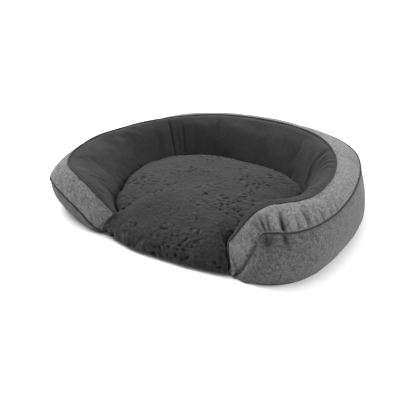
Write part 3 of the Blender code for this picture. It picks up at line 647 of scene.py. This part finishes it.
def add_pile(item, sole):
    """Curled pile: clumps with dips between them, fading out underneath and at the zip."""
    mesh = item.data
    co = coordinates(mesh)
    normals = normals_of(mesh)
    sag = noise_field(co, 0.085, 11) * 0.0028
    clumps = noise_field(co, 0.0125, 5, 3)
    curls = 1 - 2 * np.abs(noise_field(co, 0.0062, 8, 1))
    fade = smoothstep(sole + 0.0010, sole + 0.0070, co[:, 2])
    fade = fade * (1 - rear_face(co))
    hem = smoothstep(-0.20, -0.27, co[:, 1]) * (1 - smoothstep(sole + 0.010, sole + 0.024, co[:, 2]))
    tufts = noise_field(co * np.array([1.0, 1.0, 0.4]), 0.0105, 21, 2)
    # the pile parts here and there, in patches, into sunk partings and raised tufts
    partings = noise_field(co, 0.0080, 31, 1)
    patches = smoothstep(-0.25, 0.30, noise_field(co, 0.055, 17, 2))
    parted = smoothstep(0.24, 0.44, partings) * patches
    raised = smoothstep(0.24, 0.44, -partings) * patches
    depth = sag + 0.0006 * clumps + 0.0007 * curls + 0.0042 * tufts * hem
    depth += 0.0012 * raised - 0.0026 * parted
    co = co + normals * (depth * fade)[:, None]
    zip_side = (np.abs(co[:, 0]) < ZIP_HALF) & (co[:, 2] < 0.0310) & (co[:, 1] > REAR_PLANE - 0.02)
    co[zip_side, 1] = np.minimum(co[zip_side, 1], REAR_PLANE)
    co[:, 2] = np.maximum(co[:, 2], sole + 0.0021)
    set_coordinates(mesh, co)
    # painted shade in the sunk partings and a painted highlight on the raised tufts, passed to the material
    # as point attributes
    shade = mesh.attributes.new("crease_shade", "FLOAT", "POINT")
    shade.data.foreach_set("value", (0.75 * parted * fade).astype(np.float32))
    tip_highlight = mesh.attributes.new("tip_highlight", "FLOAT", "POINT")
    tip_highlight.data.foreach_set("value", (0.5 * raised * fade).astype(np.float32))


# ---- Underside pieces

def flat_piece(name, outline, low, high, finish):
    """A sewn flat panel with rounded edges between two heights, with its flat size and its area."""
    outline = np.array(outline)
    centre = outline.mean(axis=0)
    inset = outline + (centre - outline) * (SHEET_EDGE / np.linalg.norm(outline - centre, axis=1))[:, None]
    middle = (low + high) / 2
    rings = [
        np.column_stack([inset, np.full(len(outline), low)]),
        np.column_stack([outline, np.full(len(outline), middle)]),
        np.column_stack([inset, np.full(len(outline), high)]),
    ]
    count = len(outline)
    faces = ring_faces(len(rings), count)
    faces.append(tuple(reversed(range(count))))
    faces.append(tuple(range(2 * count, 3 * count)))
    points = np.vstack(rings)
    item = make_mesh(name, points, faces, smooth=False)
    keep_cloth_place(item, points)
    item.data.materials.append(finish)
    width, length = np.ptp(outline, axis=0)
    x, y = outline.T
    area = 0.5 * abs(np.sum(x * np.roll(y, -1) - y * np.roll(x, -1)))
    return item, (float(width), float(length)), float(area)


def build_base(rows):
    low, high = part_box("base_sheet")
    sole = rows[:, 8:10]
    inwards = rows[:, 6:8] - sole
    inwards /= np.linalg.norm(inwards, axis=1)[:, None]
    edge = sole + inwards * 0.001
    _, front = cushion_outline(rows, WALL_ROOM)
    front = front + np.array([0.0, 0.010])
    outline = np.vstack([edge, front])[::-1]
    outline = resampled(np.vstack([outline, outline[:1]]), SHEET_POINTS)[:-1]
    return flat_piece("base_panel", outline, low.z, high.z, LINING)


def build_liner(rows):
    low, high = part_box("cushion_liner")
    inner, front = cushion_outline(rows, WALL_ROOM + 0.005)
    inner[:, 1] = np.minimum(inner[:, 1], REAR_PLANE - 0.003)
    outline = np.vstack([inner, front + np.array([0.0, 0.006])])[::-1]
    outline = resampled(np.vstack([outline, outline[:1]]), SHEET_POINTS)[:-1]
    return flat_piece("cushion_underside", outline, low.z, high.z, LINING)


# ---- Materials

def material(name):
    made = bpy.data.materials.new(name)
    made.use_nodes = True
    return made, made.node_tree.nodes, made.node_tree.links, made.node_tree.nodes["Principled BSDF"]


def node(nodes, kind, **settings):
    made = nodes.new(kind)
    for key, value in settings.items():
        if key in made.inputs:
            made.inputs[key].default_value = value
        else:
            setattr(made, key, value)
    return made


def ramp(nodes, stops):
    made = nodes.new("ShaderNodeValToRGB")
    made.color_ramp.elements[0].position = stops[0][0]
    made.color_ramp.elements[0].color = (*stops[0][1], 1)
    made.color_ramp.elements[1].position = stops[-1][0]
    made.color_ramp.elements[1].color = (*stops[-1][1], 1)
    for position, colour in stops[1:-1]:
        made.color_ramp.elements.new(position).color = (*colour, 1)
    return made


def grey(value):
    return (value, value, value)


def noise_node(nodes, links, place, scale, detail=2.0, roughness=0.5, distortion=0.0):
    made = node(nodes, "ShaderNodeTexNoise", Scale=scale, Detail=detail, Roughness=roughness)
    made.inputs["Distortion"].default_value = distortion
    links.new(place, made.inputs["Vector"])
    return made


def mix(nodes, links, factor, first, second, blend="MIX"):
    """Two colours mixed; each of the three values is a socket, a colour or a number."""
    made = nodes.new("ShaderNodeMix")
    made.data_type = "RGBA"
    made.blend_type = blend
    for socket, value in ((made.inputs[0], factor), (made.inputs[6], first), (made.inputs[7], second)):
        if isinstance(value, bpy.types.NodeSocket):
            links.new(value, socket)
        elif isinstance(value, tuple):
            socket.default_value = (*value, 1.0)
        else:
            socket.default_value = value
    return made.outputs[2]


def math_node(nodes, links, operation, first, second):
    made = nodes.new("ShaderNodeMath")
    made.operation = operation
    for socket, value in zip(made.inputs, (first, second)):
        if isinstance(value, float):
            socket.default_value = value
        else:
            links.new(value, socket)
    return made.outputs[0]


def bump(nodes, links, height, strength, distance, normal=None):
    made = node(nodes, "ShaderNodeBump", Strength=strength, Distance=distance)
    links.new(height, made.inputs["Height"])
    if normal is not None:
        links.new(normal, made.inputs["Normal"])
    return made.outputs["Normal"]


def tweed(name, dark, light, fleck):
    """Heather tweed: a plain weave of uneven yarn in two greys, with pale and dark flecks."""
    made, nodes, links, shader = material(name)
    cloth = node(nodes, "ShaderNodeAttribute", attribute_name="cloth_place").outputs["Vector"]
    solid = nodes.new("ShaderNodeTexCoord").outputs["Object"]
    yarns = []
    for direction, scale in (("X", 205.0), ("Y", 190.0)):
        yarn = node(nodes, "ShaderNodeTexWave", wave_type="BANDS", bands_direction=direction, Scale=scale)
        yarn.inputs["Distortion"].default_value = 1.4
        yarn.inputs["Detail"].default_value = 2.0
        yarn.inputs["Detail Scale"].default_value = 3.0
        links.new(cloth, yarn.inputs["Vector"])
        yarns.append(yarn.outputs["Fac"])
    weave = math_node(nodes, links, "MAXIMUM", *yarns)
    slubs = noise_node(nodes, links, solid, 330.0, 3.0, 0.65)
    heather = noise_node(nodes, links, solid, 150.0, 3.0, 0.75)
    cloudy = noise_node(nodes, links, solid, 14.0, 2.0, 0.5)
    tone = ramp(nodes, ((0.39, grey(dark)), (0.50, grey((dark + light) / 2)), (0.61, grey(light))))
    half_slubs = math_node(nodes, links, "MULTIPLY", slubs.outputs["Fac"], 0.50)
    half_heather = math_node(nodes, links, "MULTIPLY", heather.outputs["Fac"], 0.50)
    blended = math_node(nodes, links, "ADD", half_slubs, half_heather)
    links.new(blended, tone.inputs["Fac"])
    threads = shaded_by(nodes, links, 0.35, tone.outputs["Color"], weave, 0.55, 1.12)
    flecks = ramp(nodes, ((0.66, (0, 0, 0)), (0.74, (1, 1, 1))))
    spots = noise_node(nodes, links, solid, 420.0, 1.0, 0.5)
    links.new(spots.outputs["Fac"], flecks.inputs["Fac"])
    speckle = math_node(nodes, links, "MULTIPLY", flecks.outputs["Color"], 0.45)
    flecked = mix(nodes, links, speckle, threads, grey(fleck))
    clouded = shaded_by(nodes, links, 0.5, flecked, cloudy.outputs["Fac"], 0.82, 1.16)
    # painted shade: the tweed is darkened towards a deep grey in its folds and creases
    crease_shade = node(nodes, "ShaderNodeAttribute", attribute_name="crease_shade").outputs["Fac"]
    shaded = mix(nodes, links, crease_shade, clouded, grey(dark * 0.35))
    links.new(shaded, shader.inputs["Base Color"])
    shader.inputs["Roughness"].default_value = 0.92
    shader.inputs["Specular IOR Level"].default_value = 0.18
    shader.inputs["Sheen Weight"].default_value = 0.12
    shader.inputs["Sheen Roughness"].default_value = 0.55
    coarse = bump(nodes, links, blended, 0.35, 0.0012)
    links.new(bump(nodes, links, weave, 0.40, 0.0006, coarse), shader.inputs["Normal"])
    return made


def ramp_of(nodes, links, value, low, high):
    made = ramp(nodes, ((0.2, grey(low)), (0.8, grey(high))))
    links.new(value, made.inputs["Fac"])
    return made.outputs["Color"]


def shaded_by(nodes, links, share, colour, value, low, high):
    """A colour made darker where a value is low and lighter where it is high."""
    return mix(nodes, links, share, colour, ramp_of(nodes, links, value, low, high), "MULTIPLY")


def suede(name, dark, light):
    """Short brushed pile, with soft patches where the nap lies the other way."""
    made, nodes, links, shader = material(name)
    solid = nodes.new("ShaderNodeTexCoord").outputs["Object"]
    nap = noise_node(nodes, links, solid, 18.0, 3.0, 0.6, 0.6)
    grain = noise_node(nodes, links, solid, 620.0, 2.0, 0.6)
    clumps = noise_node(nodes, links, solid, 130.0, 2.0, 0.6)
    tone = ramp(nodes, ((0.32, grey(dark)), (0.68, grey(light))))
    links.new(nap.outputs["Fac"], tone.inputs["Fac"])
    fine = shaded_by(nodes, links, 0.55, tone.outputs["Color"], grain.outputs["Fac"], 0.72, 1.28)
    spread = shaded_by(nodes, links, 0.5, fine, clumps.outputs["Fac"], 0.80, 1.22)
    # painted shade: the suede is darkened towards near-black in its folds and creases
    crease_shade = node(nodes, "ShaderNodeAttribute", attribute_name="crease_shade").outputs["Fac"]
    crease_shaded = mix(nodes, links, crease_shade, spread, grey(dark * 0.45))
    links.new(crease_shaded, shader.inputs["Base Color"])
    shader.inputs["Roughness"].default_value = 0.95
    shader.inputs["Specular IOR Level"].default_value = 0.10
    shader.inputs["Sheen Weight"].default_value = 0.04
    shader.inputs["Sheen Roughness"].default_value = 0.5
    coarse = bump(nodes, links, clumps.outputs["Fac"], 0.25, 0.0010)
    links.new(bump(nodes, links, grain.outputs["Fac"], 0.30, 0.0004, coarse), shader.inputs["Normal"])
    return made


def plush(name, deep, dark, light):
    """Curly pile in charcoal tones with a few near-black specks; painted shade between the curls and in the
    partings, and a painted highlight on the raised tufts.
    """
    made, nodes, links, shader = material(name)
    solid = nodes.new("ShaderNodeTexCoord").outputs["Object"]
    curls = node(nodes, "ShaderNodeTexVoronoi", feature="SMOOTH_F1", Scale=150.0, Smoothness=0.6)
    warp = noise_node(nodes, links, solid, 90.0, 2.0, 0.6)
    bent = nodes.new("ShaderNodeMix")
    bent.data_type = "VECTOR"
    bent.inputs[0].default_value = 0.012
    links.new(solid, bent.inputs[4])
    links.new(warp.outputs["Color"], bent.inputs[5])
    links.new(bent.outputs[1], curls.inputs["Vector"])
    fibres = noise_node(nodes, links, solid, 700.0, 3.0, 0.7, 0.8)
    clumps = noise_node(nodes, links, solid, 170.0, 3.0, 0.7, 0.4)
    cloudy = noise_node(nodes, links, solid, 16.0, 2.0, 0.5)
    tone = ramp(nodes, ((0.24, grey(deep)), (0.42, grey(dark)), (0.66, grey(light))))
    links.new(clumps.outputs["Fac"], tone.inputs["Fac"])
    # painted shade and highlight of the curls: lighter in their middles, darker between them
    curl_shade = shaded_by(nodes, links, 0.6, tone.outputs["Color"], curls.outputs["Distance"], 1.22, 0.62)
    fine = shaded_by(nodes, links, 0.6, curl_shade, fibres.outputs["Fac"], 0.70, 1.32)
    clouded = shaded_by(nodes, links, 0.6, fine, cloudy.outputs["Fac"], 0.84, 1.14)
    # painted shade in the partings of the pile and a painted highlight on its raised tufts
    parted = node(nodes, "ShaderNodeAttribute", attribute_name="crease_shade").outputs["Fac"]
    raised = node(nodes, "ShaderNodeAttribute", attribute_name="tip_highlight").outputs["Fac"]
    parting_shaded = mix(nodes, links, parted, clouded, grey(deep * 0.4))
    shaded = mix(nodes, links, raised, parting_shaded, grey(light * 1.7))
    links.new(shaded, shader.inputs["Base Color"])
    shader.inputs["Roughness"].default_value = 1.0
    shader.inputs["Specular IOR Level"].default_value = 0.05
    shader.inputs["Sheen Weight"].default_value = 0.12
    shader.inputs["Sheen Roughness"].default_value = 0.6
    coarse = bump(nodes, links, clumps.outputs["Fac"], 0.25, 0.0014)
    links.new(bump(nodes, links, fibres.outputs["Fac"], 0.5, 0.0007, coarse), shader.inputs["Normal"])
    return made


def piping(name, dark, light):
    """Twill cut on the bias round a cord."""
    made, nodes, links, shader = material(name)
    cloth = node(nodes, "ShaderNodeAttribute", attribute_name="cloth_place").outputs["Vector"]
    solid = nodes.new("ShaderNodeTexCoord").outputs["Object"]
    twill = node(nodes, "ShaderNodeTexWave", wave_type="BANDS", bands_direction="DIAGONAL", Scale=260.0)
    twill.inputs["Distortion"].default_value = 0.5
    links.new(cloth, twill.inputs["Vector"])
    wear = noise_node(nodes, links, solid, 60.0, 3.0, 0.6)
    tone = ramp(nodes, ((0.3, grey(dark)), (0.75, grey(light))))
    links.new(wear.outputs["Fac"], tone.inputs["Fac"])
    ribbed = shaded_by(nodes, links, 0.5, tone.outputs["Color"], twill.outputs["Fac"], 0.6, 1.25)
    links.new(ribbed, shader.inputs["Base Color"])
    shader.inputs["Roughness"].default_value = 0.85
    shader.inputs["Specular IOR Level"].default_value = 0.2
    shader.inputs["Sheen Weight"].default_value = 0.05
    links.new(bump(nodes, links, twill.outputs["Fac"], 0.4, 0.0004), shader.inputs["Normal"])
    return made


def lining(name, dark, light, dots):
    """Plain non-slip lining: a tight weave with rows of small rubber dots."""
    made, nodes, links, shader = material(name)
    solid = nodes.new("ShaderNodeTexCoord").outputs["Object"]
    weave = noise_node(nodes, links, solid, 500.0, 2.0, 0.5)
    tone = ramp(nodes, ((0.3, grey(dark)), (0.7, grey(light))))
    links.new(weave.outputs["Fac"], tone.inputs["Fac"])
    cells = node(nodes, "ShaderNodeTexVoronoi", Scale=95.0, Randomness=0.0)
    links.new(solid, cells.inputs["Vector"])
    spot = ramp(nodes, ((0.16, (1, 1, 1)), (0.20, (0, 0, 0))))
    links.new(cells.outputs["Distance"], spot.inputs["Fac"])
    colour = tone.outputs["Color"]
    if dots:
        colour = mix(nodes, links, spot.outputs["Color"], colour, grey(dark * 0.5))
    links.new(colour, shader.inputs["Base Color"])
    shader.inputs["Roughness"].default_value = 0.8
    shader.inputs["Specular IOR Level"].default_value = 0.25
    height = spot.outputs["Color"] if dots else weave.outputs["Fac"]
    links.new(bump(nodes, links, height, 0.4, 0.0006), shader.inputs["Normal"])
    return made


def metal(name, value, roughness):
    made, nodes, links, shader = material(name)
    solid = nodes.new("ShaderNodeTexCoord").outputs["Object"]
    scuffs = noise_node(nodes, links, solid, 900.0, 3.0, 0.6)
    tone = ramp_of(nodes, links, scuffs.outputs["Fac"], value * 0.75, value * 1.15)
    links.new(tone, shader.inputs["Base Color"])
    rough = node(nodes, "ShaderNodeMapRange")
    links.new(scuffs.outputs["Fac"], rough.inputs["Value"])
    rough.inputs["To Min"].default_value = roughness * 0.8
    rough.inputs["To Max"].default_value = roughness * 1.3
    links.new(rough.outputs["Result"], shader.inputs["Roughness"])
    shader.inputs["Metallic"].default_value = 0.9
    return made


TWEED_LIGHT = tweed("light_tweed_cloth", 0.080, 0.222, 0.40)
TWEED_GREY = tweed("grey_tweed_cloth", 0.050, 0.140, 0.26)
SUEDE = suede("charcoal_suede", 0.033, 0.045)
PLUSH = plush("charcoal_plush", 0.008, 0.0165, 0.027)
PIPING = piping("charcoal_piping", 0.022, 0.040)
LINING = lining("non_slip_lining", 0.060, 0.095, dots=True)
TAPE = lining("zip_tape", 0.020, 0.040, dots=False)
LABEL = lining("blank_label", 0.55, 0.65, dots=False)
TEETH = metal("zip_teeth", 0.16, 0.45)
METAL = metal("zip_metal", 0.42, 0.32)


# ---- Build the pieces

rows, grid, wall = build_wall()
cushion = build_cushion(rows)
base, base_cut, base_area = build_base(rows)
liner, liner_cut, liner_area = build_liner(rows)

for piece, slot in (
    (wall["wall_outer_cloth"], "grey_tweed"), (wall["wall_band_cloth"], "light_tweed"),
    (wall["wall_inner_cloth"], "suede"), (wall["rim_welt"], "piping"), (wall["ridge_welt"], "piping"),
    (wall["arm_cap_left"], "suede"), (wall["arm_cap_right"], "light_tweed"), (base, "lining"),
):
    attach(piece, "bed")
for piece, slot in ((cushion, "plush"), (liner, "lining")):
    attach(piece, "cushion")

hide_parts("bolster_inner_panel", "baffle_left", "baffle_right")
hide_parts("bolster_fill_left", "bolster_fill_back", "bolster_fill_right")
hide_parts("bolster_top_panel")
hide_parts("bolster_outer_panel")
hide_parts("rim_piping")
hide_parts("ridge_piping")
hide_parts("arm_end_left")
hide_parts("arm_end_right")
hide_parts("base_sheet")
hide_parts("cushion_top_cover", "cushion_pad")
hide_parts("cushion_liner")

for name, finish in (
    ("zip_tape_lower", TAPE), ("zip_tape_upper", TAPE), ("zip_chain", TEETH), ("zip_stop_left", METAL),
    ("zip_stop_right", METAL), ("zip_slider", METAL), ("zip_pull", METAL), ("care_label", LABEL),
):
    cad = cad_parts[name]
    cad.data.materials.clear()
    cad.data.materials.append(finish)


# ---- Floor, light and camera

FLOOR_RADIUS = 9.0
FLOOR_POINTS = 64
FLOOR_DROP = 0.0004         # so that nothing lies exactly in its plane


def build_stage():
    turns = np.linspace(0, 2 * math.pi, FLOOR_POINTS, endpoint=False)
    level = np.full(FLOOR_POINTS, -FLOOR_DROP)
    rim = np.stack([FLOOR_RADIUS * np.cos(turns), FLOOR_RADIUS * np.sin(turns), level], axis=1)
    floor = make_mesh("floor", rim, [tuple(range(FLOOR_POINTS))], smooth=False)
    made, _, _, shader = material("pale_floor")
    shader.inputs["Base Color"].default_value = (0.96, 0.96, 0.96, 1.0)
    shader.inputs["Roughness"].default_value = 0.9
    floor.data.materials.append(made)


def build_world():
    """A white surround that is brighter behind the bed than in front of it."""
    world = bpy.data.worlds.new("studio")
    world.use_nodes = True
    nodes, links = world.node_tree.nodes, world.node_tree.links
    sky = nodes["Background"]
    sky.inputs["Color"].default_value = (1.0, 1.0, 1.0, 1.0)
    way = nodes.new("ShaderNodeTexCoord")
    parts = nodes.new("ShaderNodeSeparateXYZ")
    level = nodes.new("ShaderNodeMapRange")
    for socket, value in (("From Min", -0.8), ("From Max", 0.6), ("To Min", 0.30), ("To Max", 1.20)):
        level.inputs[socket].default_value = value
    links.new(way.outputs["Generated"], parts.inputs[0])
    links.new(parts.outputs["Y"], level.inputs["Value"])
    links.new(level.outputs["Result"], sky.inputs["Strength"])
    bpy.context.scene.world = world


def area_light(name, place, size, power):
    """A round lamp that looks at the bed."""
    data = bpy.data.lights.new(name, "AREA")
    data.shape = "DISK"
    data.size = size
    data.energy = power
    lamp = bpy.data.objects.new(name, data)
    lamp.location = place
    lamp.rotation_mode = "QUATERNION"
    lamp.rotation_quaternion = (-Vector(place)).to_track_quat("-Z", "Y")
    bpy.context.scene.collection.objects.link(lamp)


def build_camera():
    azimuth, elevation, distance = math.radians(30.5), math.radians(26.0), 1.75
    target = Vector((0.0, 0.0235, 0.0))
    back = Vector((
        math.sin(azimuth) * math.cos(elevation),
        -math.cos(azimuth) * math.cos(elevation),
        math.sin(elevation),
    ))
    data = bpy.data.cameras.new("camera")
    data.lens = 59.5
    data.sensor_width = 36.0
    data.shift_x = -0.050
    data.shift_y = -0.0075
    camera = bpy.data.objects.new("camera", data)
    camera.location = target + back * distance
    camera.rotation_mode = "QUATERNION"
    camera.rotation_quaternion = (-back).to_track_quat("-Z", "Y")
    bpy.context.scene.collection.objects.link(camera)
    bpy.context.scene.camera = camera


build_stage()
build_world()
area_light("right", (2.6, 0.3, 1.8), 1.6, 42.0)
area_light("left", (-2.4, 0.0, 2.2), 1.6, 88.0)
area_light("top", (0.0, 0.0, 3.0), 2.4, 26.0)
build_camera()
bpy.context.scene.view_settings.view_transform = "Standard"
